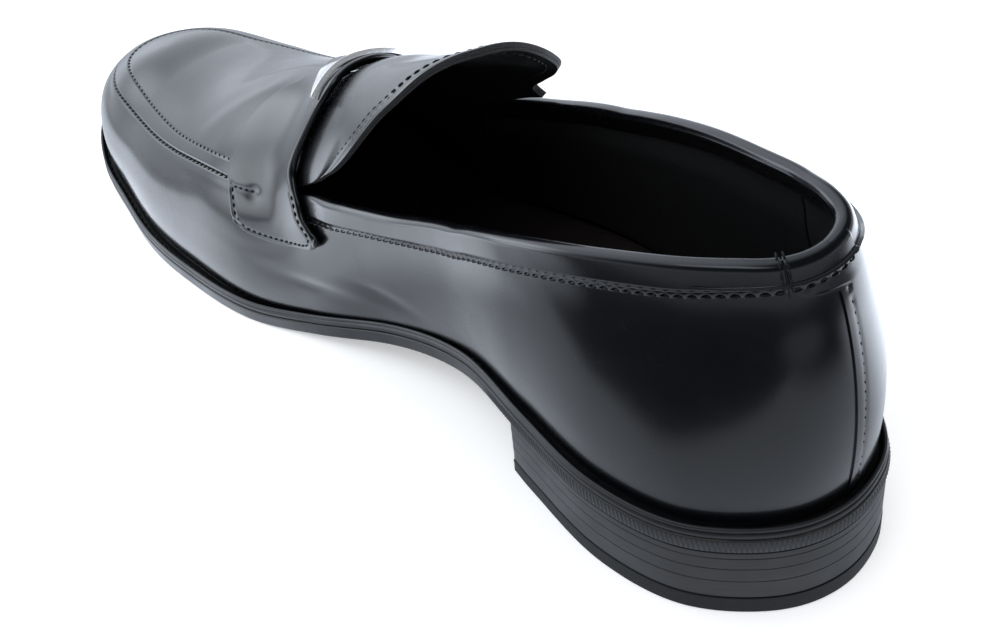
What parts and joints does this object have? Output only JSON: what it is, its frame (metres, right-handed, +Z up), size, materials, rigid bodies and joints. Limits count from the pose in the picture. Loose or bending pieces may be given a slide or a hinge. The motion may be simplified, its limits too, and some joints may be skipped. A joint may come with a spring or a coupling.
{
  "type": "penny loafer",
  "caption": "Slip-on leather shoe with a stitched apron toe, saddle strap with a plain metal plate, raised tongue, bound collar and a low stacked heel.",
  "frame": {"origin": "on the floor under the middle of the heel, at the centre of the heel tread mount", "axes": "+X from the heel to the toe, +Y to the inner (medial) side of this right shoe, +Z up"},
  "size_m": [0.3016, 0.0936, 0.0948],
  "materials": {
    "upper_leather": "polished black box calf",
    "lining_leather": "matte black lining leather",
    "sole_leather": "black stained edge, satin",
    "rubber_top_piece": "matte black rubber",
    "board": "raw insole board",
    "cork": "ground cork",
    "stiffener": "stiffened textile",
    "steel": "plain steel",
    "polished_metal": "polished silver colour",
    "thread": "waxed black thread"
  },
  "bodies": {
    "shoe": {"heel_top_piece": "rubber_top_piece", "heel_lift_1": "sole_leather", "heel_lift_2": "sole_leather", "heel_lift_3": "sole_leather", "heel_lift_4": "sole_leather", "heel_nail_1": "steel", "heel_nail_2": "steel", "heel_nail_3": "steel", "heel_nail_4": "steel", "heel_nail_5": "steel", "outsole": "sole_leather", "welt": "sole_leather", "shank": "steel", "cork_filler": "cork", "insole_board": "board", "sock_lining": "lining_leather", "heel_pad": "lining_leather", "upper": "upper_leather", "apron": "upper_leather", "saddle_strap": "upper_leather", "collar_band_medial": "upper_leather", "collar_band_lateral": "upper_leather", "heel_counter": "stiffener", "toe_puff": "stiffener", "heel_grip": "lining_leather", "quarter_lining_medial": "lining_leather", "quarter_lining_lateral": "lining_leather", "vamp_lining": "lining_leather", "apron_lining": "lining_leather", "ornament_plate": "polished_metal", "apron_seam_thread": "thread", "apron_whip_thread": "thread", "strap_thread_medial": "thread", "strap_thread_lateral": "thread", "collar_thread_medial": "thread", "collar_thread_lateral": "thread", "back_seam_thread": "thread", "welt_thread": "thread"},
    "tongue": {"tongue": "upper_leather", "tongue_lining": "lining_leather", "tongue_thread": "thread"}
  },
  "joints": [
    {"name": "tongue_flex", "type": "hinge", "parent": "shoe", "child": "tongue", "pos_m": [0.122, 0, 0.07], "axis": [0, 1, 0], "range_deg": [-5, 20], "stiffness_Nm_per_rad": 0.05}
  ]
}
